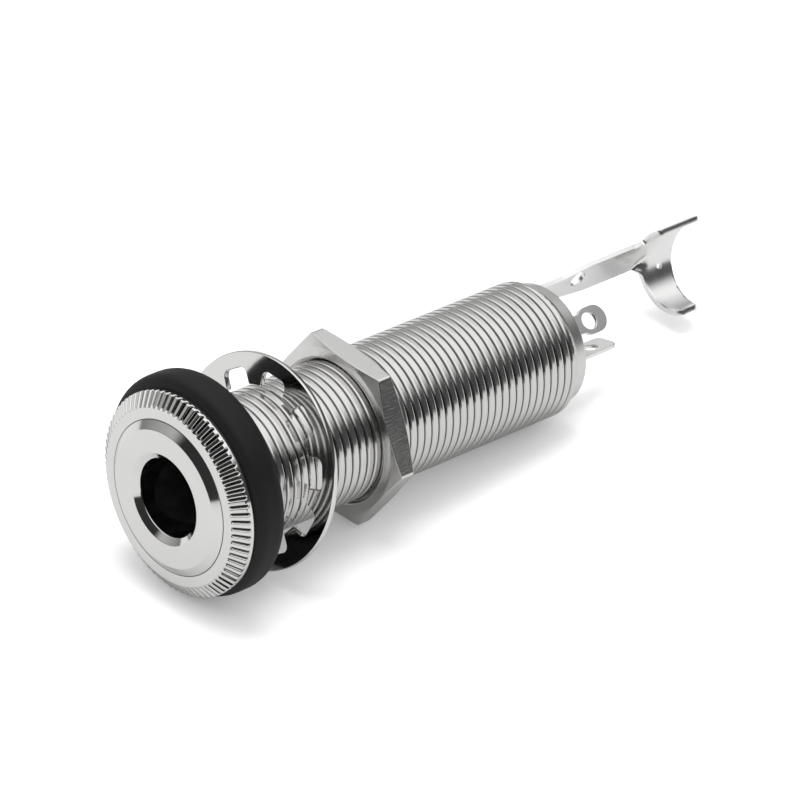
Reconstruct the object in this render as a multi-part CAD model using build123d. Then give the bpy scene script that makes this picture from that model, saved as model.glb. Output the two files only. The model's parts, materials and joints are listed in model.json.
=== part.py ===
from build123d import *
import os
from math import cos, sin, radians, sqrt, hypot

# Long threaded barrel phone jack for a quarter inch stereo plug, in millimetres.
# The jack's axis is Y. The plug comes in along +Y through the flange, and the solder
# lugs leave at the +Y end. The origin is on the axis, in the plane of the flange's back
# face, where the rubber washer seats. Z is up as the jack lies on a bench.

# Barrel and flange
plug_bore = 6.5
mouth_diameter = 7.9
mouth_depth = 0.5
thread_diameter = 11.9
flange_diameter = 17.44
flange_rim = 0.62
bevel_height = 0.83
bevel_width = 1.19
boss_height = 0.5
boss_face_diameter = 11.7
boss_base_diameter = 13.2
knurl_count = 80
knurl_depth = 0.3
knurl_share = 0.62
barrel_length = 40.05
bushing_length = 8.0
cavity_diameter = 9.3
stack_bore = 9.9
lip_opening = 9.1
lip_thickness = 0.85
lip_round = 1.8
lip_inset = 0.8

# Hardware on the thread
hardware_clearance = 0.05
rubber_diameter = 18.78
rubber_thickness = 2.95
rubber_edge_radius = 1.05
rubber_lift = 0.38
washer_rim_width = 1.35
washer_thickness = 0.5
washer_teeth = 10
tooth_length = 1.35
tooth_spacing = 2.6
tooth_fillet = 0.6
tooth_clearance = 0.35
washer_place = 8.1
washer_lean = 9.7
washer_clocking = 19.0
nut_across_flats = 14.3
nut_thickness = 2.0
nut_place = 16.1
nut_clocking = -4.3
nut_chamfer = 18.0

# Contact stack under the rolled rear lip, listed from the front
front_ring_thickness = 1.2
middle_ring_thickness = 1.0
rear_ring_thickness = 1.4
lug_thickness = 0.35
earth_thickness = 0.45
ring_window = 7.5
stack_clearance = 0.05
foot_clearance = 0.25

# Liner, lugs and contact leaves
liner_wall = 0.2
liner_clearance = 0.03
ear_distance = 3.2
ear_width = 2.2
ear_length = 2.0
notch_gap = 0.15
leaf_thickness = 0.3
leaf_width = 2.0
leaf_gap = 0.5
leaf_lap = 2.2
ring_contact_place = 20.2
ring_contact_height = 2.35
tip_contact_place = 25.6
tip_contact_height = 2.6
contact_curl_length = 0.9
contact_curl_rise = 0.25
toe_rise = 0.45
toe_length = 1.3
rear_turn = 6.3
ring_tail_angle = 38.5
ring_tail_distance = 3.05
ring_tail_width = 1.7
ring_foot_chord = 0.8
ring_eye_width = 2.4
ring_eye_length = 0.7
ring_eye_hole = 1.5
ring_eye_reach = 3.0
tip_turn = 13.0
tip_tail_drop = 1.35
tip_tail_start = 0.55
tip_tail_width = 2.4
tip_tail_reach = 5.9
tip_tail_hole = 1.3
tip_hole_inset = 2.1
tip_tail_round = 0.6

# Earth strip and cable clamp
strip_angle = 157.6
strip_exit = 3.95
strip_distance = 4.6
strip_rise_start = 0.95
strip_rise_length = 2.8
strip_neck_width = 2.1
strip_neck_length = 6.0
strip_shoulder_length = 3.3
strip_width = 2.9
strip_length = 15.63
strip_hole = 1.35
strip_hole_reach = 8.0
strip_hole_shift = 0.35
clamp_diameter = 7.6
clamp_shift = 0.87
clamp_upper_length = 5.0
clamp_lower_length = 2.9
clamp_upper_ear = 50.0
clamp_lower_ear = 136.0
clamp_hole = 0.8
clamp_hole_angle = 40.0
clamp_hole_inset = 2.1

thread_radius = thread_diameter / 2
flange_radius = flange_diameter / 2
ring_face = -flange_rim - bevel_height
boss_face = ring_face - boss_height
barrel_end = barrel_length
lip_face = barrel_end - lip_thickness
rear_ring_front = lip_face - stack_clearance - earth_thickness - rear_ring_thickness
tip_foot_front = rear_ring_front - lug_thickness
middle_ring_front = tip_foot_front - middle_ring_thickness
ring_foot_front = middle_ring_front - lug_thickness
shoulder = ring_foot_front - front_ring_thickness
earth_front = lip_face - stack_clearance - earth_thickness
stack_radius = stack_bore / 2 - stack_clearance
foot_radius = stack_radius - foot_clearance
rubber_hole_radius = thread_radius + hardware_clearance + rubber_lift
tooth_tip_radius = thread_radius + tooth_clearance
tooth_root_radius = tooth_tip_radius + tooth_length
washer_radius = tooth_root_radius + washer_rim_width
leaf_root = shoulder - leaf_gap
leaf_bend = leaf_root - leaf_lap
ear_front = leaf_root - ear_length
clamp_front = barrel_end + strip_length
clamp_radius = clamp_diameter / 2 - earth_thickness / 2


def turned(points):
    """Solid of revolution about the jack's axis, from (radius, place) points."""
    outline = make_face(Polyline(*points, close=True))
    return revolve(outline, Axis.Y, 360)


def ring(outer_radius, inner_radius, front, thickness):
    """Flat ring whose front face lies at the given place on the axis."""
    back = front + thickness
    corners = [(inner_radius, front), (outer_radius, front), (outer_radius, back), (inner_radius, back)]
    return turned(corners)


def clocked(angle, place):
    """Plane across the axis: local x points outwards at this angle, local z rearwards."""
    outwards = (cos(radians(angle)), 0, sin(radians(angle)))
    return Plane(origin=(0, place, 0), x_dir=outwards, z_dir=(0, 1, 0))


def block(angle, low, high):
    """Box between two corners given as (outwards, sideways, place along the axis)."""
    size = [b - a for a, b in zip(low, high)]
    middle = [(a + b) / 2 for a, b in zip(low, high)]
    return clocked(angle, 0) * Pos(*middle) * Box(*size)


def rod(angle, outwards, sideways, place, diameter, span):
    """Round bar that points outwards at this angle, to cut a hole in a bent plate."""
    bar = Rot(0, 90, 0) * Cylinder(diameter / 2, span)
    return clocked(angle, 0) * Pos(outwards, sideways, place) * bar


def ribbon(path, thickness):
    """Closed outline of a strip of even thickness that follows a bent line."""
    left = []
    right = []
    for i, (x, y) in enumerate(path):
        x0, y0 = path[max(i - 1, 0)]
        x1, y1 = path[min(i + 1, len(path) - 1)]
        before = Vector(x - x0, y - y0) if i > 0 else Vector(x1 - x, y1 - y)
        after = Vector(x1 - x, y1 - y) if i < len(path) - 1 else before
        along = (before.normalized() + after.normalized()).normalized()
        stretch = thickness / 2 / along.dot(after.normalized())
        left.append((x - along.Y * stretch, y + along.X * stretch))
        right.append((x + along.Y * stretch, y - along.X * stretch))
    return make_face(Polyline(*left, *reversed(right), close=True))


def side_strip(path, thickness, width, angle):
    """Sheet strip bent as a side view of (place, outwards) points, centred on this angle."""
    side = Plane(origin=(0, 0, 0), x_dir=(0, 1, 0), z_dir=clocked(angle, 0).y_dir)
    return extrude(side * ribbon(path, thickness), width / 2, both=True)


def make_barrel():
    mouth_radius = mouth_diameter / 2
    bore_radius = plug_bore / 2
    ring_edge = flange_radius - bevel_width
    lip_radius = thread_radius - lip_inset
    round_start = (thread_radius, barrel_end - lip_round)
    round_middle = (thread_radius - lip_inset * 0.42, barrel_end - lip_round * 0.5)
    front = Polyline(
        (bore_radius, boss_face + mouth_depth),
        (mouth_radius, boss_face),
        (boss_face_diameter / 2, boss_face),
        (boss_base_diameter / 2, ring_face),
        (ring_edge, ring_face),
        (flange_radius, -flange_rim),
        (flange_radius, 0),
        (thread_radius, 0),
        round_start,
    )
    roll = ThreePointArc(round_start, round_middle, (lip_radius, barrel_end))
    inside = Polyline(
        (lip_radius, barrel_end),
        (lip_opening / 2, barrel_end),
        (lip_opening / 2, lip_face),
        (stack_bore / 2, lip_face),
        (stack_bore / 2, shoulder),
        (cavity_diameter / 2, shoulder),
        (cavity_diameter / 2, bushing_length),
        (bore_radius, bushing_length),
        (bore_radius, boss_face + mouth_depth),
    )
    body = revolve(make_face(front + roll + inside), Axis.Y, 360)
    return body - make_knurl_grooves()


def make_knurl_grooves():
    """V grooves down the flange's bevel, which leave the raised ribs between them."""
    slope = hypot(bevel_width, bevel_height)
    down = Vector(bevel_width / slope, bevel_height / slope, 0)
    start = Vector(flange_radius - bevel_width, ring_face, 0) - down * 0.1
    width = knurl_share * 2 * radians(180 / knurl_count) * flange_radius
    across = Plane(origin=start, x_dir=(0, 0, 1), z_dir=down)
    vee = Polyline((-width, knurl_depth), (width, knurl_depth), (0, -knurl_depth), close=True)
    groove = extrude(across * make_face(vee), slope + 0.5)
    pitch = 360 / knurl_count
    return [groove.rotate(Axis.Y, i * pitch) for i in range(knurl_count)]


def make_rubber_washer():
    """Loose ring with rounded rims, lifted until its hole rests against the barrel's underside."""
    body = ring(rubber_diameter / 2, rubber_hole_radius, 0, rubber_thickness)
    rims = body.edges().filter_by(GeomType.CIRCLE).group_by(SortBy.RADIUS)[-1]
    return Pos(0, 0, rubber_lift) * fillet(rims, rubber_edge_radius)


def make_lock_washer():
    """Internal-tooth washer: a flat ring with round-cornered gaps cut between its teeth."""
    blank = ring(washer_radius, tooth_tip_radius, -washer_thickness / 2, washer_thickness)
    gap = Pos(tooth_root_radius / 2, 0, 0) * Box(tooth_root_radius, tooth_spacing, tooth_spacing)
    gap = fillet(gap.edges().filter_by(Axis.Y).group_by(Axis.X)[-1], tooth_fillet)
    pitch = 360 / washer_teeth
    gaps = [gap.rotate(Axis.Y, washer_clocking + i * pitch) for i in range(washer_teeth)]
    return Pos(0, washer_place, 0) * (blank - gaps).rotate(Axis.X, -washer_lean)


def make_hex_nut():
    plane = clocked(nut_clocking, nut_place)
    corner_radius = nut_across_flats / sqrt(3)
    prism = extrude(plane * RegularPolygon(corner_radius, 6), nut_thickness)
    flat_radius = nut_across_flats / 2
    drop = (corner_radius - flat_radius) * sin(radians(nut_chamfer)) / cos(radians(nut_chamfer))
    back = nut_place + nut_thickness
    chamfers = turned([
        (0, nut_place),
        (flat_radius, nut_place),
        (corner_radius, nut_place + drop),
        (corner_radius, back - drop),
        (flat_radius, back),
        (0, back),
    ])
    hole = ring(thread_radius + hardware_clearance, 0, nut_place - 1, nut_thickness + 2)
    return (prism & chamfers) - hole


def make_liner():
    outer = cavity_diameter / 2 - liner_clearance
    start = bushing_length + liner_clearance
    return ring(outer, outer - liner_wall, start, shoulder - liner_clearance - start)


def make_insulator(front, thickness):
    return ring(stack_radius, ring_window / 2, front, thickness)


def make_foot(front, turn, chord):
    """Segment of a disc that is clamped in the stack, cut off along a chord."""
    disc = ring(foot_radius, 0, front, lug_thickness)
    keep = block(90 + turn, (chord, -foot_radius, front - 1), (foot_radius + 1, foot_radius, front + 1))
    return disc & keep


def make_ear(side, foot_front):
    """Forward tongue of a lug: side is 1 above the axis and -1 below it."""
    inner = ear_distance - lug_thickness / 2
    outer = ear_distance + lug_thickness / 2
    half = ear_width / 2
    return block(side * 90, (inner, -half, ear_front), (outer, half, foot_front + lug_thickness))


def ear_notch(side, foot_front):
    """Gap that the tongue leaves in the foot where it was bent out."""
    outer = ear_distance + lug_thickness / 2
    half = ear_width / 2 + notch_gap
    low = (outer, -half, foot_front - 1)
    high = (foot_radius + 1, half, foot_front + 1)
    return block(side * 90, low, high)


def make_ring_lug():
    angle = ring_tail_angle + rear_turn
    inner = ring_tail_distance - lug_thickness / 2
    outer = ring_tail_distance + lug_thickness / 2
    half = ring_tail_width / 2
    eye_place = barrel_end + ring_eye_reach
    foot = make_foot(ring_foot_front, rear_turn, ring_foot_chord)
    gap_low = (outer, -half - notch_gap, ring_foot_front - 1)
    gap_high = (foot_radius + 1, half + notch_gap, ring_foot_front + 1)
    gap = block(angle, gap_low, gap_high)
    tail = block(angle, (inner, -half, ring_foot_front), (outer, half, eye_place))
    eye_end = eye_place + ring_eye_length
    eye = block(angle, (inner, -ring_eye_width / 2, eye_place), (outer, ring_eye_width / 2, eye_end))
    for place in (eye_place, eye_end):
        eye = eye + rod(angle, ring_tail_distance, 0, place, ring_eye_width, lug_thickness)
    hole = rod(angle, ring_tail_distance, 0, eye_place, ring_eye_hole, 2 * lug_thickness)
    lug = foot - ear_notch(1, ring_foot_front) - gap
    return lug + make_ear(1, ring_foot_front) + tail + eye - hole


def make_tip_lug():
    angle = 90 + tip_turn
    lower = -tip_tail_drop - lug_thickness / 2
    upper = -tip_tail_drop + lug_thickness / 2
    far = tip_tail_start + tip_tail_width
    end = barrel_end + tip_tail_reach
    foot = make_foot(tip_foot_front, tip_turn + 180, -upper)
    tail = block(angle, (lower, tip_tail_start, tip_foot_front), (upper, far, end))
    corners = tail.edges().filter_by(lambda e: abs(e.center().Y - end) < 0.01 and e.length < lug_thickness * 1.01)
    tail = fillet(corners, tip_tail_round)
    middle = (tip_tail_start + far) / 2
    hole = rod(angle, -tip_tail_drop, middle, end - tip_hole_inset, tip_tail_hole, 2 * lug_thickness)
    lug = foot - ear_notch(-1, tip_foot_front)
    return lug + make_ear(-1, tip_foot_front) + tail - hole


def make_leaf(side, contact_place, contact_height):
    """Contact leaf lapped on the outside of its lug's tongue, bent in towards the plug."""
    lap = ear_distance + lug_thickness / 2 + leaf_thickness / 2
    path = [
        (leaf_root, lap),
        (leaf_bend, lap),
        (contact_place + contact_curl_length, contact_height + contact_curl_rise),
        (contact_place, contact_height),
        (contact_place - toe_length, contact_height + toe_rise),
    ]
    return side_strip(path, leaf_thickness, leaf_width, side * 90)


def earth_strip_plan():
    """Outline of the strip and its clamp seen from outside, as (sideways, place) points.

    The clamp's rear edge is cut on a slant, and its sides run out beyond the curled ears.
    """
    neck_end = barrel_end + strip_neck_length
    full_width = neck_end + strip_shoulder_length
    reach = clamp_diameter
    slope = (clamp_upper_length - clamp_lower_length) / clamp_diameter
    middle = clamp_front + (clamp_upper_length + clamp_lower_length) / 2
    return make_face(Polyline(
        (-strip_neck_width / 2, earth_front),
        (-strip_neck_width / 2, neck_end),
        (-strip_width / 2, full_width),
        (-strip_width / 2, clamp_front),
        (-reach, clamp_front),
        (-reach, middle - slope * (reach + clamp_shift)),
        (reach, middle + slope * (reach - clamp_shift)),
        (reach, clamp_front),
        (strip_width / 2, clamp_front),
        (strip_width / 2, full_width),
        (strip_neck_width / 2, neck_end),
        (strip_neck_width / 2, earth_front),
        close=True,
    ))


def make_earth_strip():
    """One stamping: clamped ring, long sleeve strip and the cradle that grips the cable."""
    angle = strip_angle + rear_turn
    washer = ring(stack_radius, ring_window / 2, earth_front, earth_thickness)
    rise_start = barrel_end + strip_rise_start
    path = [
        (earth_front, strip_exit),
        (rise_start, strip_exit),
        (rise_start + strip_rise_length, strip_distance),
        (clamp_front, strip_distance),
    ]
    sheet = side_strip(path, earth_thickness, 2 * clamp_diameter, angle)
    base = clocked(angle, 0)
    plan = Plane(origin=(0, 0, 0), x_dir=base.y_dir, z_dir=base.x_dir)
    blank = extrude(plan * earth_strip_plan(), clamp_diameter, both=True)
    curl = make_curl(angle)
    shift = clamp_shift - clamp_radius * sin(radians(clamp_hole_angle))
    rise = strip_distance - clamp_radius * (1 - cos(radians(clamp_hole_angle)))
    hole_place = barrel_end + strip_hole_reach
    wire_hole = rod(angle, strip_distance, strip_hole_shift, hole_place, strip_hole, 2 * earth_thickness)
    clamp_dot = rod(angle, rise, shift, clamp_front + clamp_hole_inset, clamp_hole, 4 * earth_thickness)
    return washer + (sheet & blank) + (curl & blank) - wire_hole - clamp_dot


def make_curl(angle):
    """Curled sheet at the end of the strip, open towards the upper right."""
    plane = clocked(angle, clamp_front) * Pos(strip_distance - clamp_radius, clamp_shift, 0)
    outer = clamp_radius + earth_thickness / 2
    inner = clamp_radius - earth_thickness / 2
    turn = clamp_upper_ear + clamp_lower_ear
    outside = CenterArc((0, 0), outer, -clamp_lower_ear, turn)
    inside = CenterArc((0, 0), inner, -clamp_lower_ear, turn)
    ends = Line(outside @ 0, inside @ 0) + Line(outside @ 1, inside @ 1)
    return extrude(plane * make_face(outside + inside + ends), 2 * clamp_upper_length)


os.makedirs("parts", exist_ok=True)
pieces = {
    "barrel": make_barrel(),
    "rubber_washer": make_rubber_washer(),
    "lock_washer": make_lock_washer(),
    "hex_nut": make_hex_nut(),
    "insulating_liner": make_liner(),
    "front_insulator": make_insulator(shoulder, front_ring_thickness),
    "ring_lug": make_ring_lug(),
    "middle_insulator": make_insulator(middle_ring_front, middle_ring_thickness),
    "tip_lug": make_tip_lug(),
    "rear_insulator": make_insulator(rear_ring_front, rear_ring_thickness),
    "sleeve_strip": make_earth_strip(),
    "ring_spring": make_leaf(1, ring_contact_place, ring_contact_height),
    "tip_spring": make_leaf(-1, tip_contact_place, tip_contact_height),
}
for name, piece in pieces.items():
    piece.label = name
    export_step(piece, f"parts/{name}.step")
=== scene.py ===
# %% [markdown]
# A long barrel phone jack lies on its side on a pale bench. It is almost all bright nickel
# plate, so the picture is made by three things: the true form of the thread and the knurl,
# the finish of each metal, and what the metal can see around it.
# The solids from the CAD model come in first and fix every size and place.

# %% Load the frame
import json
import math

import bmesh
import bpy
from mathutils import Matrix, Vector

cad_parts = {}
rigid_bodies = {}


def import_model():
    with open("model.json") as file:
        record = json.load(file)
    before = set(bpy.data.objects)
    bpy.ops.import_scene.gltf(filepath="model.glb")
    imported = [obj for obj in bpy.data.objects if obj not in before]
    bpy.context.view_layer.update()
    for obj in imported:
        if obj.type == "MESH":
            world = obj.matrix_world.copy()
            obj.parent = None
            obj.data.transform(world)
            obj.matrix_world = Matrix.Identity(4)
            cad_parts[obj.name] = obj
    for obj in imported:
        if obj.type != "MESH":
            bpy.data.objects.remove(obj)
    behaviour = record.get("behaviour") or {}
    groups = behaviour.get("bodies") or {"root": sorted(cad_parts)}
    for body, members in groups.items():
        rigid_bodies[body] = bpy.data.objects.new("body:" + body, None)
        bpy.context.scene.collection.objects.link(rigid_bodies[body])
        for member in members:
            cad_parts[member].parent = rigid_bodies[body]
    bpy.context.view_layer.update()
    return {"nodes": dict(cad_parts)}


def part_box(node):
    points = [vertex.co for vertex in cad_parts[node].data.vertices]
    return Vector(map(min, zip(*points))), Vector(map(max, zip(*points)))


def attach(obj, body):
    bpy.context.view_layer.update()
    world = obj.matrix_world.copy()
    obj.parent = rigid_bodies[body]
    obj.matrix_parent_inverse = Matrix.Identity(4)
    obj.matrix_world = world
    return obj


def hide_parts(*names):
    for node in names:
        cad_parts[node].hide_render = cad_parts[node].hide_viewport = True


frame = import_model()
mm = 0.001
print("nodes:", sorted(frame["nodes"]))

# %% [markdown]
# The sizes below repeat the driving dimensions of the turned body, in millimetres along
# the jack's axis, which is Y. The plane of zero is the back of the flange. They could be
# measured on the solids, but a profile is easier to follow as a list of named sizes.

# %% Sizes of the turned body
thread_radius = 5.95
bore_radius = 3.25
flange_radius = 8.72
flange_rim = 0.62
bevel_height = 0.83
bevel_width = 1.19
boss_height = 0.5
barrel_end = 40.05
lip_round = 1.8
ring_face = -flange_rim - bevel_height
boss_face = ring_face - boss_height
bevel_inner = flange_radius - bevel_width
rim_start = 0.30 - flange_rim
print("overall length of the turned body:", round(barrel_end - boss_face, 2), "mm")


# %% [markdown]
# Node trees are easier to read as sums than as wires. This class wraps one socket of a
# shader or geometry tree. An expression on wrapped values adds the Math nodes by itself,
# and `node` adds any other node from its type, its settings and its inputs.

# %% A wrapper for node maths
class Value:
    """One socket of a tree, ready for sums."""

    def __init__(self, tree, socket):
        self.tree = tree
        self.socket = socket

    def math(self, operation, *others, swap=False):
        inputs = [self, *others]
        if swap:
            inputs.reverse()
        settings = {"operation": operation}
        return node(self.tree, "ShaderNodeMath", settings, dict(enumerate(inputs)))[0]

    def __add__(self, other): return self.math("ADD", other)
    def __radd__(self, other): return self.math("ADD", other)
    def __sub__(self, other): return self.math("SUBTRACT", other)
    def __rsub__(self, other): return self.math("SUBTRACT", other, swap=True)
    def __mul__(self, other): return self.math("MULTIPLY", other)
    def __rmul__(self, other): return self.math("MULTIPLY", other)
    def __truediv__(self, other): return self.math("DIVIDE", other)
    def __rtruediv__(self, other): return self.math("DIVIDE", other, swap=True)
    def __pow__(self, other): return self.math("POWER", other)
    def __rpow__(self, other): return self.math("POWER", other, swap=True)
    def sin(self): return self.math("SINE")
    def cos(self): return self.math("COSINE")
    def fract(self): return self.math("FRACT")
    def abs(self): return self.math("ABSOLUTE")
    def at_least(self, other): return self.math("MAXIMUM", other)
    def at_most(self, other): return self.math("MINIMUM", other)

    def step(self, low, high):
        """0 below low, 1 above high and a smooth rise between."""
        settings = {"interpolation_type": "SMOOTHSTEP"}
        return node(self.tree, "ShaderNodeMapRange", settings, {0: self, 1: low, 2: high})[0]


class Outputs:
    """The outputs of one node, wrapped, by name or by number."""

    def __init__(self, tree, made):
        self.tree = tree
        self.made = made

    def __getitem__(self, key):
        return Value(self.tree, self.made.outputs[key])


def node(tree, kind, settings=None, inputs=None):
    """Add one node. Settings are its properties, inputs are values or links by name or number."""
    made = tree.nodes.new(kind)
    for name, value in (settings or {}).items():
        setattr(made, name, value)
    for key, value in (inputs or {}).items():
        if isinstance(value, Value):
            tree.links.new(value.socket, made.inputs[key])
        else:
            made.inputs[key].default_value = value
    return Outputs(tree, made)


# %% [markdown]
# Metal is described by very little: a colour for how much light comes back, and a
# roughness for how far it spreads. The helpers below start a material and add the patterns
# that move those two a little. Grooves are a special case. Their depth is stored on the
# mesh as an attribute called recess, and the plate colour is darkened by it: painted shade
# for the dark bottoms of fine grooves, where little light gets in.

# %% Helpers for materials
def new_material(name):
    """A material with a Principled shader, and the tree and shader to build on."""
    material = bpy.data.materials.new(name)
    material.use_nodes = True
    tree = material.node_tree
    tree.nodes.clear()
    shader = node(tree, "ShaderNodeBsdfPrincipled")
    node(tree, "ShaderNodeOutputMaterial", inputs={"Surface": shader["BSDF"]})
    return material, tree, shader.made


def drive(tree, shader, socket, value):
    """Send a value or link to one input of the main shader."""
    if isinstance(value, Value):
        tree.links.new(value.socket, shader.inputs[socket])
    else:
        shader.inputs[socket].default_value = value


def place(tree, scale=(1, 1, 1), turn=(0, 0, 0)):
    """Object coordinates, stretched and turned to suit a pattern."""
    coordinates = node(tree, "ShaderNodeTexCoord")["Object"]
    inputs = {"Vector": coordinates, "Scale": scale, "Rotation": turn}
    return node(tree, "ShaderNodeMapping", inputs=inputs)["Vector"]


def noise(tree, vector, scale, detail, roughness=0.5):
    """A cloudy pattern. Its scale is the number of clouds in a metre."""
    inputs = {"Vector": vector, "Scale": scale, "Detail": detail, "Roughness": roughness}
    return node(tree, "ShaderNodeTexNoise", inputs=inputs)["Fac"]


def blend_colours(tree, factor, first, second):
    """The first colour where the factor is 0, and the second one where it is 1."""
    settings = {"data_type": "RGBA"}
    return node(tree, "ShaderNodeMix", settings, {0: factor, 6: first, 7: second})[2]


def bump(tree, height, strength, distance):
    """A normal that follows a height pattern. The distance is in metres."""
    inputs = {"Height": height, "Strength": strength, "Distance": distance}
    return node(tree, "ShaderNodeBump", inputs=inputs)["Normal"]


def with_painted_shade(tree, colour, deepest):
    """Darken a plating colour by the recess attribute: painted shade in the grooves and on marked
    lines.
    """
    recess = node(tree, "ShaderNodeAttribute", {"attribute_name": "recess"})["Fac"]
    return blend_colours(tree, recess.step(0.10, 0.75) * deepest, colour, (0.02, 0.02, 0.02, 1))


def tell_finish(material):
    """Say that a finish is ready, and how many nodes it has."""
    print("finish:", material.name, "nodes:", len(material.node_tree.nodes))


# %% [markdown]
# The flange and the toothed washer are polished and then plated, which gives a clear
# mirror. A mirror with one even roughness looks like glass, so a fine haze moves it, and a
# faint bump bends the reflections as thin plate does.

# %% Bright nickel plate
def make_bright_nickel():
    material, tree, shader = new_material("bright_nickel")
    where = place(tree)
    haze = noise(tree, where, 260, 4)
    colour = blend_colours(tree, haze, (0.74, 0.735, 0.725, 1), (0.79, 0.785, 0.775, 1))
    drive(tree, shader, "Metallic", 1.0)
    # The base colour is darkened by painted shade where the recess attribute is set.
    drive(tree, shader, "Base Color", with_painted_shade(tree, colour, 0.85))
    drive(tree, shader, "Roughness", 0.05 + haze * 0.08)
    drive(tree, shader, "Normal", bump(tree, noise(tree, where, 900, 2), 0.12, 0.02 * mm))
    return material


bright_nickel = make_bright_nickel()
tell_finish(bright_nickel)


# %% [markdown]
# A turned piece is a profile swung round the axis. Real corners are never sharp, and on a
# mirror finish the thin bright line along a rounded corner is what the eye looks for. So
# every corner of a profile gets a small arc, and a second point close beside the arc keeps
# the flat face next to it optically flat.

# %% Rounding a profile
def rounded_profile(points, radius, steps=4, closed=True):
    """Profile of (radius, place) points with each corner replaced by a short arc."""
    most_of_side = 0.4
    holding_gap = 0.12
    result = []
    count = len(points)
    for i, point in enumerate(points):
        here = Vector(point)
        if not closed and i in (0, count - 1):
            result.append(here)
            continue
        before = Vector(points[i - 1]) - here
        after = Vector(points[(i + 1) % count]) - here
        reach = min(radius, before.length * most_of_side, after.length * most_of_side)
        start = here + before.normalized() * reach
        end = here + after.normalized() * reach
        result.append(start + before.normalized() * reach * holding_gap)
        for k in range(steps + 1):
            t = k / steps
            result.append(start * (1 - t) ** 2 + here * 2 * t * (1 - t) + end * t ** 2)
        result.append(end + after.normalized() * reach * holding_gap)
    return result


# %% [markdown]
# A spin or a screw modifier could swing the profile. Plain faces from a list of angles do
# the same and allow one thing more: each angle may have a profile of its own, which the
# hexagon of the nut needs.

# %% Swinging a profile
def add_object(name, data):
    """Put a mesh, a lamp or a camera into the scene."""
    made = bpy.data.objects.new(name, data)
    bpy.context.scene.collection.objects.link(made)
    return made


def mesh_object(name, vertices, faces, material):
    """An object at the origin from points in millimetres, shaded smooth, with one material."""
    mesh = bpy.data.meshes.new(name)
    mesh.from_pydata([Vector(v) * mm for v in vertices], [], faces)
    mesh.materials.append(material)
    mesh.validate()
    mesh.shade_smooth()
    return add_object(name, mesh)


def swung_piece(name, profiles, material, closed=True):
    """Join profiles, each at its own angle round the Y axis, so that the faces look outwards."""
    vertices = []
    for angle, profile in profiles:
        vertices += [(r * math.cos(angle), y, r * math.sin(angle)) for r, y in profile]
    rows = len(profiles[0][1])
    last = rows if closed else rows - 1
    faces = []
    for i in range(len(profiles)):
        a = i * rows
        b = (i + 1) % len(profiles) * rows
        for k in range(last):
            n = (k + 1) % rows
            faces.append((a + k, a + n, b + n, b + k))
    print(name, "faces:", len(faces))
    return mesh_object(name, vertices, faces, material)


def turned_piece(name, profile, material, segments, closed=True):
    """Swing one profile round the Y axis."""
    profiles = [(2 * math.pi * i / segments, profile) for i in range(segments)]
    return swung_piece(name, profiles, material, closed)


# %% [markdown]
# The front of the barrel is one turned flange: a chamfered mouth with a slight lead-in
# behind it, a low boss with a conical side, a flat ring, the knurled bevel and a thin
# smooth rim. The knurl needs its own fine mesh, so the turned profile is made in two open
# runs that stop at its edges. A fine dark line of painted shade goes round the foot of the
# boss, where the corner holds shade, and the recess attribute marks it for the finish.

# %% Front and back of the flange
mouth_radius = 3.95
mouth_chamfer = 0.425
mouth_bore = bore_radius + 0.1
lead_in_end = 4.0
boss_face_radius = 5.85
boss_base_radius = 6.6
round_segments = 240

front_run = rounded_profile([
    (bore_radius, lead_in_end),
    (mouth_bore, boss_face + mouth_chamfer),
    (mouth_radius, boss_face),
    (boss_face_radius, boss_face),
    (boss_base_radius, ring_face),
    (bevel_inner - 0.12, ring_face),
    (bevel_inner, ring_face),
], 0.06, closed=False)
flange_front = turned_piece("flange_front", front_run, bright_nickel, round_segments, closed=False)

back_run = rounded_profile([
    (flange_radius, rim_start),
    (flange_radius, 0.0),
    (thread_radius - 0.3, 0.0),
], 0.08, closed=False)
flange_back = turned_piece("flange_back", back_run, bright_nickel, round_segments, closed=False)


def mark_shade_line(piece, radius, half_width):
    """Store a recess of 1 on the points at a radius from the axis, and 0 on the others, for a
    painted line of shade.
    """
    recess = piece.data.attributes.new("recess", "FLOAT", "POINT")
    for vertex, depth in zip(piece.data.vertices, recess.data):
        from_axis = math.hypot(vertex.co.x, vertex.co.z) / mm
        depth.value = 1.0 if abs(from_axis - radius) < half_width else 0.0


# A thin ring of painted shade at the foot of the boss.
mark_shade_line(flange_front, boss_base_radius, 0.04)


# %% [markdown]
# The knurl and the thread are rules, not drawings, so Geometry Nodes trees make them. Each
# tree lays a flat grid, moves every point in or out by a rule and wraps the grid round the
# axis. The sizes are named inputs, and the result is kept as a plain mesh.

# %% Starting and running a geometry tree
def new_geometry_tree(name, sizes):
    """A geometry tree with one input for each size. Returns the tree and its inputs."""
    tree = bpy.data.node_groups.new(name, "GeometryNodeTree")
    tree.interface.new_socket("Geometry", in_out="OUTPUT", socket_type="NodeSocketGeometry")
    for label, value in sizes.items():
        kind = "NodeSocketInt" if isinstance(value, int) else "NodeSocketFloat"
        socket = tree.interface.new_socket(label, in_out="INPUT", socket_type=kind)
        socket.default_value = value
    group = tree.nodes.new("NodeGroupInput")
    return tree, {label: Value(tree, group.outputs[label]) for label in sizes}


def close_tree(tree, geometry, material):
    """End a tree: realise instances, set the material and join the output."""
    real = node(tree, "GeometryNodeRealizeInstances", inputs={0: geometry})[0]
    inputs = {"Geometry": real, "Material": material}
    dressed = node(tree, "GeometryNodeSetMaterial", inputs=inputs)["Geometry"]
    output = tree.nodes.new("NodeGroupOutput")
    tree.links.new(dressed.socket, output.inputs[0])


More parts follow.
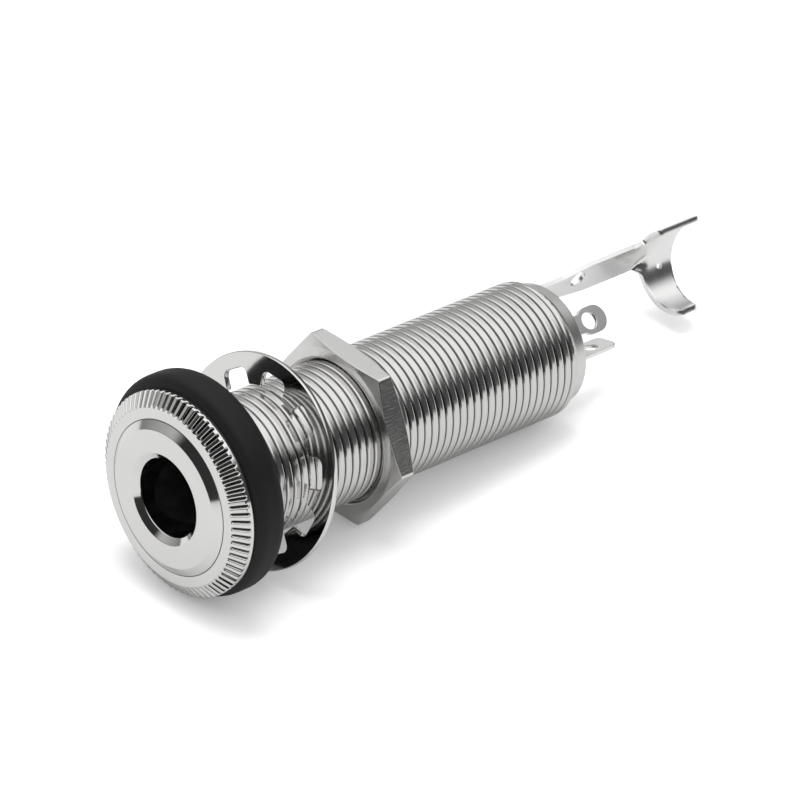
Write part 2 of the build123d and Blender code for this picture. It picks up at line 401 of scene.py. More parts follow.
def grow(name, tree, sizes):
    """Run a geometry tree once and keep its result as a plain mesh object."""
    carrier = add_object(name + "_carrier", bpy.data.meshes.new(name + "_carrier"))
    modifier = carrier.modifiers.new(name, "NODES")
    modifier.node_group = tree
    for item in tree.interface.items_tree:
        if item.in_out == "INPUT" and item.name in sizes:
            modifier[item.identifier] = sizes[item.name]
    evaluated = carrier.evaluated_get(bpy.context.evaluated_depsgraph_get())
    mesh = bpy.data.meshes.new_from_object(evaluated)
    mesh.name = name
    mesh.shade_smooth()
    bpy.data.objects.remove(carrier)
    print(name, "vertices:", len(mesh.vertices), "faces:", len(mesh.polygons))
    return add_object(name, mesh)


# %% [markdown]
# Both rules start from the same flat grid and end on the same round. In between stands the
# rule itself, which gives each point its radius and its place along the axis. How deep the
# point lies in a groove is stored on the way, for the painted shade of the finish.

# %% From a flat grid to a round
def unit_grid(tree, columns, rows):
    """A grid of points with coordinates from 0 to 1, and those two coordinates."""
    inputs = {"Size X": 1.0, "Size Y": 1.0, "Vertices X": columns, "Vertices Y": rows}
    grid = node(tree, "GeometryNodeMeshGrid", inputs=inputs)
    spot = node(tree, "GeometryNodeInputPosition")["Position"]
    parts = node(tree, "ShaderNodeSeparateXYZ", inputs={0: spot})
    return grid["Mesh"], parts["X"] + 0.5, parts["Y"] + 0.5


def mark_recess(tree, mesh, recess):
    """Store how deep each point lies in its groove, from 0 to 1, for the finish to paint shade by.
    """
    settings = {"data_type": "FLOAT", "domain": "POINT"}
    inputs = {"Geometry": mesh, "Name": "recess", "Value": recess}
    return node(tree, "GeometryNodeStoreNamedAttribute", settings, inputs)["Geometry"]


def wrap_round_axis(tree, mesh, angle, radius, along, weld):
    """Place each point at an angle, radius and distance along Y, and weld the closing seam."""
    inputs = {"X": radius * angle.cos(), "Y": along, "Z": radius * angle.sin()}
    spot = node(tree, "ShaderNodeCombineXYZ", inputs=inputs)["Vector"]
    inputs = {"Geometry": mesh, "Position": spot}
    wrapped = node(tree, "GeometryNodeSetPosition", inputs=inputs)["Geometry"]
    inputs = {"Geometry": wrapped, "Distance": weld}
    return node(tree, "GeometryNodeMergeByDistance", inputs=inputs)["Geometry"]


# %% [markdown]
# The knurl gives the fingers a hold: eighty grooves are pressed across the bevel. A strip
# of faces follows the bevel and sinks by a peaked section again and again round the rim,
# at right angles to the slope. Four fifths of its rows lie on the bevel. The last fifth
# goes round the corner onto the smooth rim, where each groove runs out.

# %% The knurled bevel
knurl_sizes = {
    "Ribs": 80,
    "Steps per rib": 16,
    "Rows": 21,
    "Inner radius": bevel_inner * mm,
    "Outer radius": flange_radius * mm,
    "Inner place": ring_face * mm,
    "Outer place": -flange_rim * mm,
    "Rim place": rim_start * mm,
    "Groove depth": 0.26 * mm,
    "Groove share": 0.52,
    "Inner fade": 0.12,
    "Rim fade": 0.9,
}


def make_knurl_tree():
    tree, size = new_geometry_tree("knurled_bevel", knurl_sizes)
    columns = size["Ribs"] * size["Steps per rib"] + 1
    mesh, around, path = unit_grid(tree, columns, size["Rows"])
    phase = (around * size["Ribs"]).fract() * 2 - 1
    across = (path * 1.25).at_most(1.0)
    past_corner = (path * 5 - 4).at_least(0.0)
    peak = 1 - (phase.abs() / size["Groove share"]).at_most(1.0)
    fade = across.step(0.0, size["Inner fade"]) * (1 - past_corner.step(0.0, size["Rim fade"]))
    section = peak * fade
    sink = section * size["Groove depth"]
    run_out = size["Outer radius"] - size["Inner radius"]
    run_back = size["Outer place"] - size["Inner place"]
    slope = (run_out * run_out + run_back * run_back) ** 0.5
    radius = size["Inner radius"] + run_out * across - sink * run_back / slope
    along = size["Inner place"] + run_back * across + sink * run_out / slope
    along = along + (size["Rim place"] - size["Outer place"]) * past_corner
    mesh = mark_recess(tree, mesh, section)
    wrapped = wrap_round_axis(tree, mesh, around * (2 * math.pi), radius, along, 1e-7)
    close_tree(tree, wrapped, bright_nickel)
    return tree


knurled_bevel = grow("knurled_bevel", make_knurl_tree(), knurl_sizes)


# %% [markdown]
# The thread is cut with a die and plated without polishing. Its plate is rougher and a
# little darker than the flange's, and the die's chatter leaves fine marks along the turns,
# which a noise squeezed along the axis gives.

# %% Nickel plate on the thread
def make_thread_nickel():
    material, tree, shader = new_material("thread_nickel")
    haze = noise(tree, place(tree), 420, 5, 0.6)
    chatter = noise(tree, place(tree, (1, 3.2, 1)), 1500, 3)
    colour = blend_colours(tree, haze, (0.65, 0.645, 0.635, 1), (0.73, 0.725, 0.715, 1))
    drive(tree, shader, "Metallic", 1.0)
    # The base colour is darkened by painted shade in the thread's groove.
    drive(tree, shader, "Base Color", with_painted_shade(tree, colour, 0.88))
    drive(tree, shader, "Roughness", 0.10 + haze * 0.14)
    drive(tree, shader, "Normal", bump(tree, chatter, 0.25, 0.03 * mm))
    return material


thread_nickel = make_thread_nickel()
tell_finish(thread_nickel)

# %% [markdown]
# A screw thread is a groove that moves along one pitch for each turn. It could be painted
# on as bump, but then its outline would stay smooth. The grid is sheared by one pitch for
# each turn, so its rows follow the helix and the groove's edges stay crisp. The rows start
# a little early, so that they cover every angle. At both ends they are held at the end
# plane, and the groove runs out as a die leaves it.

# %% The helical thread
thread_sizes = {
    "Segments": 144,
    "Rows per turn": 9,
    "Turns": 53,
    "Turns before start": 2.0,
    "Start": 0.0,
    "End": (barrel_end - lip_round) * mm,
    "Radius": thread_radius * mm,
    "Pitch": 0.794 * mm,
    "Groove depth": 0.15 * mm,
    "Groove share": 0.34,
    "Run-in from": 0.2 * mm,
    "Run-in to": 1.2 * mm,
    "Run-out from": 0.7 * mm,
    "Run-out to": 0.05 * mm,
}


def make_thread_tree():
    tree, size = new_geometry_tree("helical_thread", thread_sizes)
    start = size["Start"]
    end = size["End"]
    rows = size["Rows per turn"] * size["Turns"] + 1
    mesh, around, across = unit_grid(tree, size["Segments"] + 1, rows)
    turn = across * size["Turns"]
    along = (turn + around - size["Turns before start"]) * size["Pitch"] + start
    reach = ((turn.fract() - 0.5).abs() * 2 / size["Groove share"]).at_most(1.0)
    section = 0.5 + 0.5 * (reach * math.pi).cos()
    fade_in = along.step(start + size["Run-in from"], start + size["Run-in to"])
    fade_out = 1 - along.step(end - size["Run-out from"], end - size["Run-out to"])
    section = section * fade_in * fade_out
    mesh = mark_recess(tree, mesh, section)
    radius = size["Radius"] - section * size["Groove depth"]
    held = along.at_least(start).at_most(end)
    wrapped = wrap_round_axis(tree, mesh, around * (2 * math.pi), radius, held, 2e-6)
    close_tree(tree, wrapped, thread_nickel)
    return tree


helical_thread = grow("helical_thread", make_thread_tree(), thread_sizes)


# %% [markdown]
# Milled and rolled faces carry fine lines under their plate, which spread a reflection
# across them. A noise that is squeezed one way and turned a little gives such lines. The
# nut is still rather bright, and the rolled lip is more satin.

# %% Satin nickel plate
def make_satin_nickel(name, roughness):
    material, tree, shader = new_material(name)
    lines = noise(tree, place(tree, (26, 1, 1), (0, 0.5, 0.3)), 700, 4, 0.6)
    haze = noise(tree, place(tree), 300, 3)
    colour = blend_colours(tree, lines, (0.68, 0.675, 0.665, 1), (0.76, 0.755, 0.745, 1))
    drive(tree, shader, "Metallic", 1.0)
    drive(tree, shader, "Base Color", colour)
    drive(tree, shader, "Roughness", roughness + haze * 0.14)
    drive(tree, shader, "Normal", bump(tree, lines, 0.3, 0.03 * mm))
    return material


satin_nickel = make_satin_nickel("satin_nickel", 0.10)
rolled_nickel = make_satin_nickel("rolled_nickel", 0.26)
tell_finish(satin_nickel)
tell_finish(rolled_nickel)

# %% [markdown]
# Behind the thread the wall is turned down and rolled over the contact stack. A short cone
# leads to a nearly straight band with a satin finish. The inside of the barrel joins on to
# it: a counterbore for the stack, the wide cavity, and the bushing that guides the plug.

# %% The rolled lip and the inside
lip_radius = 4.55
lip_face = 39.2
cone_end = barrel_end - 1.25
cone_end_radius = thread_radius - 0.53
band_end_radius = thread_radius - 0.65
lip_run = rounded_profile([
    (thread_radius, barrel_end - lip_round),
    (cone_end_radius, cone_end),
    (band_end_radius, barrel_end),
    (lip_radius, barrel_end),
    (lip_radius, lip_face),
], 0.16, closed=False)
rolled_lip = turned_piece("rolled_lip", lip_run, rolled_nickel, 192, closed=False)

stack_radius = 4.95
shoulder = 34.3
cavity_radius = 4.65
bushing_length = 8.0
inside_run = rounded_profile([
    (lip_radius, lip_face),
    (stack_radius, lip_face),
    (stack_radius, shoulder),
    (cavity_radius, shoulder),
    (cavity_radius, bushing_length),
    (bore_radius, bushing_length),
    (bore_radius, lead_in_end),
], 0.06, closed=False)
barrel_inside = turned_piece("barrel_inside", inside_run, rolled_nickel, round_segments,
                             closed=False)


# %% [markdown]
# The turned runs, the knurl and the thread are one piece of metal on the real jack. They
# are joined into two meshes, the flange and the shell behind it, because a fine thread has
# many faces. The edges that touch are welded.

# %% Join the turned body
def triangles(mesh):
    return sum(len(face.vertices) - 2 for face in mesh.polygons)


def join_pieces(name, pieces):
    """Join several objects into the first one and weld the points that touch."""
    with bpy.context.temp_override(active_object=pieces[0], selected_editable_objects=pieces):
        bpy.ops.object.join()
    joined = pieces[0]
    joined.name = name
    joined.data.name = name
    shell = bmesh.new()
    shell.from_mesh(joined.data)
    bmesh.ops.remove_doubles(shell, verts=shell.verts, dist=1e-6)
    bmesh.ops.recalc_face_normals(shell, faces=shell.faces)
    shell.to_mesh(joined.data)
    shell.free()
    print(name, "triangles:", triangles(joined.data))
    return joined


def finish_piece(piece, body, *nodes, slot):
    """Let a piece ride on its body and stand for its solids. The slot is not used."""
    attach(piece, body)
    if nodes:
        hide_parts(*nodes)


flange = join_pieces("barrel_flange", [flange_front, knurled_bevel, flange_back])
barrel_shell = join_pieces("barrel_shell", [helical_thread, rolled_lip, barrel_inside])
finish_piece(flange, "barrel", "barrel", slot="plated_barrel")
finish_piece(barrel_shell, "barrel", slot="plated_barrel")


# %% [markdown]
# Moulded rubber is almost black, and what shows its shape is a soft, broad shine. A fine
# skin in the bump breaks that shine up, and a slow noise stands for the pale bloom that
# rubber gets on a shelf.

# %% Black rubber
def make_rubber():
    material, tree, shader = new_material("black_rubber")
    bloom = noise(tree, place(tree), 180, 5, 0.6)
    skin = noise(tree, place(tree), 2600, 3, 0.7)
    colour = blend_colours(tree, bloom, (0.004, 0.004, 0.0045, 1), (0.009, 0.009, 0.0095, 1))
    drive(tree, shader, "Base Color", colour)
    drive(tree, shader, "Roughness", 0.52 + bloom * 0.16)
    drive(tree, shader, "Specular IOR Level", 0.3)
    drive(tree, shader, "Normal", bump(tree, skin, 0.35, 0.04 * mm))
    return material


black_rubber = make_rubber()
tell_finish(black_rubber)

# %% [markdown]
# The rubber washer is one soft ring with large arcs for its outer corners. Its hole is a
# little wide for the thread, so it sits a little off the jack's axis, where its solid is.

# %% The rubber washer
rubber_low, rubber_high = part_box("rubber_washer")
rubber_radius = rubber_high.x / mm
rubber_back = rubber_high.y / mm
rubber_hole = 6.38
rubber_round = 1.05
rubber_profile = rounded_profile([
    (rubber_hole, 0.0),
    (rubber_radius, 0.0),
    (rubber_radius, rubber_back),
    (rubber_hole, rubber_back),
], rubber_round, steps=8)
rubber_ring = turned_piece("rubber_ring", rubber_profile, black_rubber, 192)
rubber_ring.data.transform(Matrix.Translation((0, 0, (rubber_low.z + rubber_high.z) / 2)))
finish_piece(rubber_ring, "barrel", "rubber_washer", slot="rubber")


# %% [markdown]
# The lugs are stamped from tinned sheet, so that solder takes to them. Tin is a softer
# mirror than nickel, with a slight grain along the strip that it was rolled in.

# %% Tinned sheet
def make_tinned_sheet():
    material, tree, shader = new_material("tinned_sheet")
    grain = noise(tree, place(tree, (1, 3, 1)), 220, 2)
    colour = blend_colours(tree, grain, (0.83, 0.83, 0.825, 1), (0.87, 0.87, 0.865, 1))
    drive(tree, shader, "Metallic", 1.0)
    drive(tree, shader, "Base Color", colour)
    drive(tree, shader, "Roughness", 0.20 + grain * 0.08)
    drive(tree, shader, "Normal", bump(tree, grain, 0.08, 0.03 * mm))
    return material


tinned_sheet = make_tinned_sheet()
tell_finish(tinned_sheet)


# %% [markdown]
# The contact leaves inside the barrel are of plated spring bronze, a warmer metal with a
# grain along the leaf. The picture hardly shows them, but the mouth does from close by.

# %% Spring bronze
def make_spring_bronze():
    material, tree, shader = new_material("spring_bronze")
    grain = noise(tree, place(tree, (1, 6, 1)), 700, 3)
    colour = blend_colours(tree, grain, (0.70, 0.60, 0.42, 1), (0.78, 0.70, 0.52, 1))
    drive(tree, shader, "Metallic", 1.0)
    drive(tree, shader, "Base Color", colour)
    drive(tree, shader, "Roughness", 0.18 + grain * 0.15)
    return material


spring_bronze = make_spring_bronze()
tell_finish(spring_bronze)


# %% [markdown]
# The toothed washer, the lugs and the leaves keep the exact form of their solids, which a
# new mesh could only repeat. A copy of the mesh is welded, its flat areas are cleaned up,
# and a bevel with even normals rounds every edge a little, so that each edge catches a
# thin line of light.

# %% Softened copies of the stamped pieces
def round_edges(made, width, angle):
    """Round the edges that are sharper than the angle, and keep the result as a mesh."""
    edge = made.modifiers.new("soft_edges", "BEVEL")
    edge.width = width * mm
    edge.segments = 2
    edge.limit_method = "ANGLE"
    edge.angle_limit = math.radians(angle)
    even = made.modifiers.new("even_normals", "WEIGHTED_NORMAL")
    even.keep_sharp = True
    evaluated = made.evaluated_get(bpy.context.evaluated_depsgraph_get())
    final = bpy.data.meshes.new_from_object(evaluated)
    made.modifiers.clear()
    made.data = final
    print(made.name, "triangles:", triangles(final))


def softened_copy(name, width, material, body, slot):
    """A copy of a CAD node with small rounded edges, which stands for it."""
    mesh = frame["nodes"][name].data.copy()
    mesh.name = name + "_dressed"
    shell = bmesh.new()
    shell.from_mesh(mesh)
    bmesh.ops.remove_doubles(shell, verts=shell.verts, dist=1e-6)
    flat = math.radians(1)
    bmesh.ops.dissolve_limit(shell, angle_limit=flat, verts=shell.verts, edges=shell.edges)
    shell.to_mesh(mesh)
    shell.free()
    mesh.materials.clear()
    mesh.materials.append(material)
    mesh.shade_smooth()
    made = add_object(name + "_dressed", mesh)
    round_edges(made, width, 25)
    finish_piece(made, body, name, slot=slot)


softened_copy("lock_washer", 0.07, bright_nickel, "barrel", "plated_washer")
softened_copy("ring_lug", 0.05, tinned_sheet, "barrel", "plated_terminal")
softened_copy("tip_lug", 0.05, tinned_sheet, "barrel", "plated_terminal")
softened_copy("ring_spring", 0.05, spring_bronze, "ring_contact", "spring_metal")
softened_copy("tip_spring", 0.05, spring_bronze, "tip_contact", "spring_metal")

# %% [markdown]
# The nut is a hexagon whose corners were turned down on both faces, and a mirror finish
# shows every error there. So it isn't a copy: the same rounded profile is swung round the
# axis, and its reach follows the rule of a hexagon with slightly rounded corners. The
# solid's farthest corner says how the nut is turned.

# %% The rule of the hexagon
nut_flat = 7.15
corner_arc = 0.22
half_side = math.pi / 6
nut_corners = frame["nodes"]["hex_nut"].data.vertices
farthest = max((v.co for v in nut_corners), key=lambda c: math.hypot(c.x, c.z))
first_flat = math.atan2(farthest.z, farthest.x) + half_side


def hexagon_reach(turn):
    """Distance from the axis to the nut's side, at an angle from the middle of a flat."""
    off_middle = abs(turn) if turn < half_side else 2 * half_side - turn
    flat_end = math.atan2((nut_flat - corner_arc) * math.tan(half_side), nut_flat)
    if off_middle <= flat_end:
        return nut_flat / math.cos(off_middle)
    arc_middle = (nut_flat - corner_arc) / math.cos(half_side)
    off = half_side - off_middle
    off_arc = math.sqrt(corner_arc ** 2 - (arc_middle * math.sin(off)) ** 2)
    return arc_middle * math.cos(off) + off_arc


print("nut across corners:", round(2 * hexagon_reach(half_side), 2), "mm")

# %% [markdown]
# Each profile goes from the hole over one face, the turned-down corner and the side to the
# other face. The angles lie close together at the corners, where the reach changes fast.

# %% The hex nut
nut_low, nut_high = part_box("hex_nut")
nut_front = nut_low.y / mm
nut_back = nut_high.y / mm
nut_hole = thread_radius + 0.05
hole_chamfer = 0.3
face_edge = nut_flat - 0.05
corner_slope = math.tan(math.radians(18))


def nut_profile(reach):
    drop = (reach - face_edge) * corner_slope
    return rounded_profile([
        (nut_hole + hole_chamfer, nut_front),
        (face_edge, nut_front),
        (reach, nut_front + drop),
        (reach, nut_back - drop),
        (face_edge, nut_back),
        (nut_hole + hole_chamfer, nut_back),
        (nut_hole, nut_back - hole_chamfer),
        (nut_hole, nut_front + hole_chamfer),
    ], 0.05, steps=3)


turn_degrees = (-28, -26, -22, -18, -12, -6, 0, 6, 12, 18, 22, 26, 28, 28.8, 29.6, 30.4, 31.2)
nut_profiles = []
for side in range(6):
    for turn in map(math.radians, turn_degrees):
        angle = first_flat + side * 2 * half_side + turn
        nut_profiles.append((angle, nut_profile(hexagon_reach(turn))))
nut = swung_piece("nut", nut_profiles, satin_nickel)
finish_piece(nut, "nut", "hex_nut", slot="plated_nut")

# %% [markdown]
# The sleeve strip is cut from flat sheet and bent afterwards, and it is made the same way
# here, because a bent sheet keeps its widths and its hole's shape. Across is the first
# coordinate of the flat sheet, and the distance behind the barrel is the second one. The
# clamp is wider than the strip, with a flare on one side and a slanted rear edge.

# %% Sizes of the sleeve strip
strip_root = -1.35
neck_half = 1.05
neck_end = 6.0
full_width = 9.3
strip_half = 1.45
flare_width = 0.7
flare_start = 15.1
clamp_front = 15.63
clamp_length = 4.06
rear_slant = 0.205
curl_radius = 3.575
curl_middle = 0.87
upper_ear = curl_middle + curl_radius * math.radians(50)
lower_ear = curl_radius * math.radians(136) - curl_middle
print("clamp across, still flat:", round(upper_ear + lower_ear, 2), "mm")


# %% [markdown]
# The outline is one closed loop of points. It goes up one side of the strip, round the
# upper ear, back along the rear edge, round the lower ear and down the other side. Two
# more loops make the wire hole and the clamp's small hole.

# %% The flat outline of the sleeve strip
def rear_edge(across):
    """Place of the clamp's slanted rear edge at a distance across the flat sheet."""
    return clamp_front + clamp_length + rear_slant * (across - curl_middle)


def arc(centre, radii, start, end, steps):
    """Points of an elliptical arc between two angles in degrees."""
    points = []
    for i in range(steps + 1):
        angle = math.radians(start + (end - start) * i / steps)
        x = centre[0] + radii[0] * math.cos(angle)
        y = centre[1] + radii[1] * math.sin(angle)
        points.append((x, y))
    return points


def corner(x, y, radius, start, end, steps):
    """Points of a rounded corner, whose arc has its centre at x and y."""
    return arc((x, y), (radius, radius), start, end, steps)


def round_hole(centre, radius, points):
    """Evenly spaced points of a full circle."""
    return arc(centre, (radius, radius), 0, 360 - 360 / points, points - 1)


root_round = 0.25
ear_round = 0.3
tip_round = 0.6
rear_step = 0.4
rear_marks = [upper_ear - rear_step * i for i in range(1, 41)]
flare = (flare_width, clamp_front - flare_start)

outline = [(neck_half, strip_root), (neck_half, neck_end), (strip_half, full_width)]
outline += corner(strip_half + root_round, clamp_front - root_round, root_round, 180, 90, 4)
outline += corner(upper_ear - ear_round, clamp_front + ear_round, ear_round, -90, 0, 4)
outline += corner(upper_ear - ear_round, rear_edge(upper_ear) - ear_round, ear_round, 0, 90, 4)
outline += [(v, rear_edge(v)) for v in rear_marks if v > 0.9 - lower_ear]
outline += corner(tip_round - lower_ear, rear_edge(-lower_ear) - tip_round, tip_round, 90, 180, 6)
outline += corner(tip_round - lower_ear, clamp_front + tip_round, tip_round, 180, 270, 6)
outline += arc((-strip_half - flare_width, flare_start), flare, 90, 0, 10)
outline += [(-strip_half, full_width), (-neck_half, neck_end), (-neck_half, strip_root)]

wire_hole = round_hole((0.35, 8.0), 0.8, 24)
dot_across = curl_middle - curl_radius * math.radians(40)
clamp_dot = round_hole((dot_across, clamp_front + 2.1), 0.3, 16)
print("outline points:", len(outline))


# %% [markdown]
# A sheet bends smoothly only where it has small even cells. So the filled outline is cut
# along lines both ways, close together where it will bend. The slanted edges that the fill
# left inside are taken out again, and points that almost touch are merged, because on a
# mirror every long thin face shows. The edges along the outline stay as they are.

# %% Cut the flat sheet into cells
def cut_lines(sheet, normal, marks):
    """Cut a flat sheet along a line at each mark."""
    for mark in marks:
        everything = list(sheet.verts) + list(sheet.edges) + list(sheet.faces)
        spot = Vector(normal) * mark
        bmesh.ops.bisect_plane(sheet, geom=everything, plane_co=spot, plane_no=normal)


def is_slanted(edge):
    """Whether an edge follows neither of the two directions of the cuts."""
    first, second = (vertex.co for vertex in edge.verts)
    return min(abs(first.x - second.x), abs(first.y - second.y)) > 1e-4


def flat_cells(loops, across_marks, along_marks):
    """Fill flat outlines and cut the sheet into cells."""
    sheet = bmesh.new()
    for loop in loops:
        points = [sheet.verts.new((x, y, 0)) for x, y in loop]
        for i, point in enumerate(points):
            sheet.edges.new((points[i - 1], point))
    bmesh.ops.triangle_fill(sheet, use_beauty=True, edges=sheet.edges)
    cut_lines(sheet, (0, 1, 0), along_marks)
    cut_lines(sheet, (1, 0, 0), across_marks)
    slanted = [edge for edge in sheet.edges if not edge.is_boundary and is_slanted(edge)]
    bmesh.ops.dissolve_edges(sheet, edges=slanted, use_verts=False)
    left_over = [v for v in sheet.verts if len(v.link_edges) == 2 and not v.is_boundary]
    bmesh.ops.dissolve_verts(sheet, verts=left_over)
    bmesh.ops.remove_doubles(sheet, verts=sheet.verts, dist=0.02)
    return sheet


across_marks = [upper_ear - 0.36 * i for i in range(1, 34)]
step_marks = [0.6 + 0.3 * i for i in range(12)]
clamp_marks = [14.2 + 0.28 * i for i in range(22)]
strip_cells = flat_cells([outline, wire_hole, clamp_dot], across_marks, step_marks + clamp_marks)
print("cells:", len(strip_cells.faces))

# %% [markdown]
# The bend keeps lengths across the sheet: a point that lay this far from the middle line
# ends up the same distance round the curl. Behind the barrel the whole strip steps
# outwards. The curl then grows within about a millimetre, and it starts sooner at the ears
# than in the middle, which stays flat a little longer.

# %% The rule of the bend
strip_angle = math.radians(163.9)
outwards = Vector((math.cos(strip_angle), 0, math.sin(strip_angle)))
sideways = Vector((math.sin(strip_angle), 0, -math.cos(strip_angle)))
root_distance = 3.95
step_outwards = 0.65
step_from, step_to = 0.8, 3.9
ear_lead = 1.2
lead_from, lead_to = 0.4, 1.8
curl_from, curl_to = clamp_front - 0.1, clamp_front + 1.1


def smooth(low, high, value):
    """0 below low, 1 above high and a smooth rise between."""
    t = min(max((value - low) / (high - low), 0), 1)
    return t * t * (3 - 2 * t)


def bent(across, along):
    """Where a point of the flat sheet ends up, in millimetres."""
    distance = root_distance + step_outwards * smooth(step_from, step_to, along)
    ahead = ear_lead * smooth(lead_from, lead_to, abs(across))
    tightness = smooth(curl_from, curl_to, along + ahead)
    curl = tightness / curl_radius
    if curl > 1e-6:
        middle = curl_middle * tightness
        turned = curl * (across - middle)
        distance -= (1 - math.cos(turned)) / curl
        across = middle + math.sin(turned) / curl
    return outwards * distance + sideways * across + Vector((0, barrel_end + along, 0))


print("strip leaves the barrel", round(bent(0, 0).xz.length, 2), "mm from the axis")

# %% [markdown]
# The bent sheet gets its thickness to both sides and small rounded edges. The earth ring
# that is one piece with it on the real jack hides under the rolled lip, so a plain turned
# ring is enough there.

# %% The bent strip and its ring
sheet_thickness = 0.45


def bent_piece(name, sheet, material):
    """Bend a flat sheet, give it its thickness and round its edges."""
    for vertex in sheet.verts:
        vertex.co = bent(vertex.co.x, vertex.co.y) * mm
    bmesh.ops.recalc_face_normals(sheet, faces=sheet.faces)
    mesh = bpy.data.meshes.new(name)
    sheet.to_mesh(mesh)
    sheet.free()
    mesh.materials.append(material)
    mesh.shade_smooth()
    made = add_object(name, mesh)
    thick = made.modifiers.new("thickness", "SOLIDIFY")
    thick.thickness = sheet_thickness * mm
    thick.offset = 0.0
    round_edges(made, 0.06, 50)
    return made


earth_strip = bent_piece("earth_strip", strip_cells, tinned_sheet)
ring_hole = 3.75
ring_radius = 4.9
ring_back = lip_face - 0.05
ring_front = ring_back - sheet_thickness
earth_ring = turned_piece("earth_ring", rounded_profile([
    (ring_hole, ring_front),
    (ring_radius, ring_front),
    (ring_radius, ring_back),
    (ring_hole, ring_back),
], 0.06), tinned_sheet, 96)
finish_piece(earth_strip, "barrel", "sleeve_strip", slot="plated_terminal")
finish_piece(earth_ring, "barrel", slot="plated_terminal")


# %% [markdown]
# The insulating rings are cut from red-brown laminated board, and a dark film lines the
# barrel. They hardly show, and their plain rings are right as they are, so their solids
# stay and only take a finish: flecks like pressed cloth for the board, faint clouds for
# the film.

# %% Board and film for the inner solids
def make_board():
    material, tree, shader = new_material("insulating_board")
    fleck = noise(tree, place(tree, (1, 6, 1)), 1200, 4, 0.7)
    colour = blend_colours(tree, fleck, (0.10, 0.035, 0.014, 1), (0.19, 0.075, 0.03, 1))
    drive(tree, shader, "Base Color", colour)
    drive(tree, shader, "Roughness", 0.5 + fleck * 0.2)
    drive(tree, shader, "Normal", bump(tree, fleck, 0.3, 0.04 * mm))
    return material


def make_film():
    material, tree, shader = new_material("liner_film")
    cloud = noise(tree, place(tree), 240, 3)
    colour = blend_colours(tree, cloud, (0.012, 0.012, 0.013, 1), (0.02, 0.02, 0.021, 1))
    drive(tree, shader, "Base Color", colour)
    drive(tree, shader, "Roughness", 0.45 + cloud * 0.2)
    return material


insulating_board = make_board()
liner_film = make_film()
inner_finish = {
    "insulating_liner": liner_film,
    "front_insulator": insulating_board,
    "middle_insulator": insulating_board,
    "rear_insulator": insulating_board,
}
for name, material in inner_finish.items():
    solid = frame["nodes"][name]
    solid.data.materials.clear()
    solid.data.materials.append(material)
    print(name, "takes", material.name)


# %% [markdown]
# The bench in the picture is so white that only the shadows show it. More light would burn
# the metal out, so the paper is told apart by who looks at it. For the camera it is almost
# white with a faint glow, and for the metal's reflections it is a light grey.

# %% White paper for the bench
def make_bench_paper():
    material, tree, shader = new_material("bench_paper")
    camera_sees = node(tree, "ShaderNodeLightPath")["Is Camera Ray"]
    paper = blend_colours(tree, camera_sees, (0.67, 0.67, 0.67, 1), (0.98, 0.98, 0.98, 1))
    glow = blend_colours(tree, camera_sees, (0, 0, 0, 1), (1, 1, 1, 1))
    drive(tree, shader, "Base Color", paper)
    drive(tree, shader, "Roughness", 0.9)
    drive(tree, shader, "Specular IOR Level", 0.0)
    drive(tree, shader, "Emission Color", glow)
    drive(tree, shader, "Emission Strength", 0.14)
    return material


bench_paper = make_bench_paper()
tell_finish(bench_paper)

# %% [markdown]
# The jack lies on the bottom of its toothed washer and on the far end of its barrel, so the
# bench is a plane through those two. It slopes a little against the jack's own axis.

# %% The bench
washer_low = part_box("lock_washer")[0]
front_rest = Vector((0, washer_low.y, washer_low.z))
rear_rest = Vector((0, (barrel_end - lip_round) * mm, -thread_radius * mm))
bench_angle = math.atan2(rear_rest.z - front_rest.z, rear_rest.y - front_rest.y)
bench_up = Vector((0, -math.sin(bench_angle), math.cos(bench_angle)))
bench_along = Vector((0, math.cos(bench_angle), math.sin(bench_angle)))
bench_gap = 0.02 * mm
bench_middle = front_rest - bench_up * bench_gap + bench_along * 20 * mm
bench_half = 1.2
bench_corners = []
for x, y in ((-1, -1), (1, -1), (1, 1), (-1, 1)):
    spot = bench_middle + Vector((x * bench_half, 0, 0)) + bench_along * y * bench_half
    bench_corners.append(spot / mm)
bench = mesh_object("bench", bench_corners, [(0, 1, 2, 3)], bench_paper)
print("bench slope:", round(math.degrees(bench_angle), 2), "degrees")

# %% [markdown]
# A mirror shows the room, so the room is drawn for it, by the direction that a reflection
# looks in. Above the jack is a wide white light, the left side is a grey card, and the
# front and the right fall away to dark. The camera itself sees plain white, and matte
# things are lit by an even pale sky.

# %% The room around the jack
world = bpy.data.worlds.new("studio")
bpy.context.scene.world = world
world.use_nodes = True
sky = world.node_tree
sky.nodes.clear()

direction = node(sky, "ShaderNodeTexCoord")["Generated"]
way = node(sky, "ShaderNodeSeparateXYZ", inputs={0: direction})
height = way["Z"].at_least(0.0)
level_reach = (way["X"] * way["X"] + way["Y"] * way["Y"]) ** 0.5
leftwards = (0 - way["X"]) / level_reach
rearwards = way["Y"] / level_reach

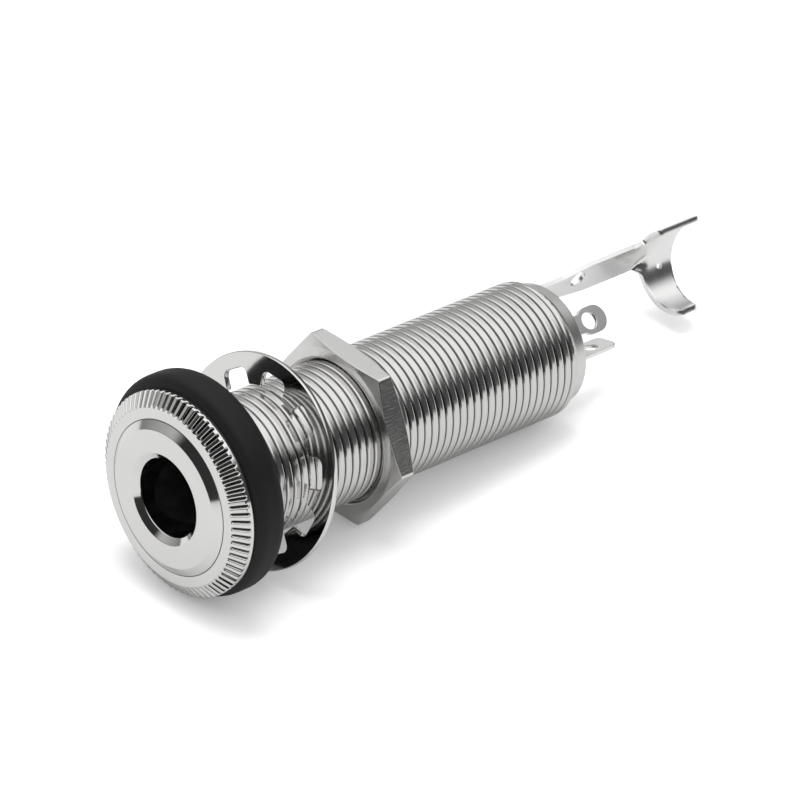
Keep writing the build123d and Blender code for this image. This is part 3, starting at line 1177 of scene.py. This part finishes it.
light_level = 1.18
even_sky = 0.95
overhead = way["Z"].step(0.49, 0.80)
left_card = leftwards.step(0.40, 0.64)
card_level = 0.24 + height * 0.72
dark_level = 0.03 + rearwards.step(-0.2, 0.6) * 0.035
wall = dark_level * (1 - left_card) + card_level * left_card
room = wall * (1 - overhead) + overhead * light_level

path = node(sky, "ShaderNodeLightPath")
mirror = path["Is Glossy Ray"]
seen = path["Is Camera Ray"]
level = seen + (1 - seen) * (mirror * room + (1 - mirror) * even_sky)
glow_inputs = {"Color": (1, 1, 1, 1), "Strength": level}
glow = node(sky, "ShaderNodeBackground", inputs=glow_inputs)["Background"]
node(sky, "ShaderNodeOutputWorld", inputs={"Surface": glow})
print("room nodes:", len(sky.nodes))

# %% [markdown]
# One soft lamp above the left side gives the bench its shadows. Mirrors don't show it,
# because the room above is drawn already, and a second light would double the highlights.

# %% The soft lamp
lamp = bpy.data.lights.new("overhead_light", "AREA")
lamp.shape = "SQUARE"
lamp.size = 0.25
lamp.energy = 0.95
lamp_spot = Vector((-0.04, 0.0, 0.45))
lamp_target = Vector((0, 0.03, 0))
overhead_light = add_object("overhead_light", lamp)
overhead_light.location = lamp_spot
overhead_light.rotation_mode = "QUATERNION"
overhead_light.rotation_quaternion = (lamp_target - lamp_spot).to_track_quat("-Z", "Y")
overhead_light.visible_glossy = False
print("lamp height:", round(lamp_spot.z, 2), "m")

# %% [markdown]
# The camera is a long lens from a good way off, as product pictures are taken. Its place
# and its direction come from the ellipses that the mouth, the flange and the washer make
# in the photograph, and level for it is the bench.

# %% The camera
camera_place = Vector((0.30945, -0.28983, 0.26244))
camera_forward = Vector((-0.60357, 0.61163, -0.51149)).normalized()
camera_right = Vector((0.67825, 0.73111, 0.07390)).normalized()
camera_up = camera_right.cross(camera_forward)
camera_turn = Matrix((camera_right, camera_up, -camera_forward)).transposed()

camera_data = bpy.data.cameras.new("camera")
camera_data.sensor_width = 36.0
camera_data.lens = 281.2
camera_data.clip_start = 0.01
camera_data.clip_end = 10.0
camera = add_object("camera", camera_data)
camera.location = camera_place
camera.rotation_mode = "QUATERNION"
camera.rotation_quaternion = camera_turn.to_quaternion()
bpy.context.scene.camera = camera
bpy.context.scene.view_settings.view_transform = "Standard"
print("camera distance:", round(camera_place.length, 3), "m")
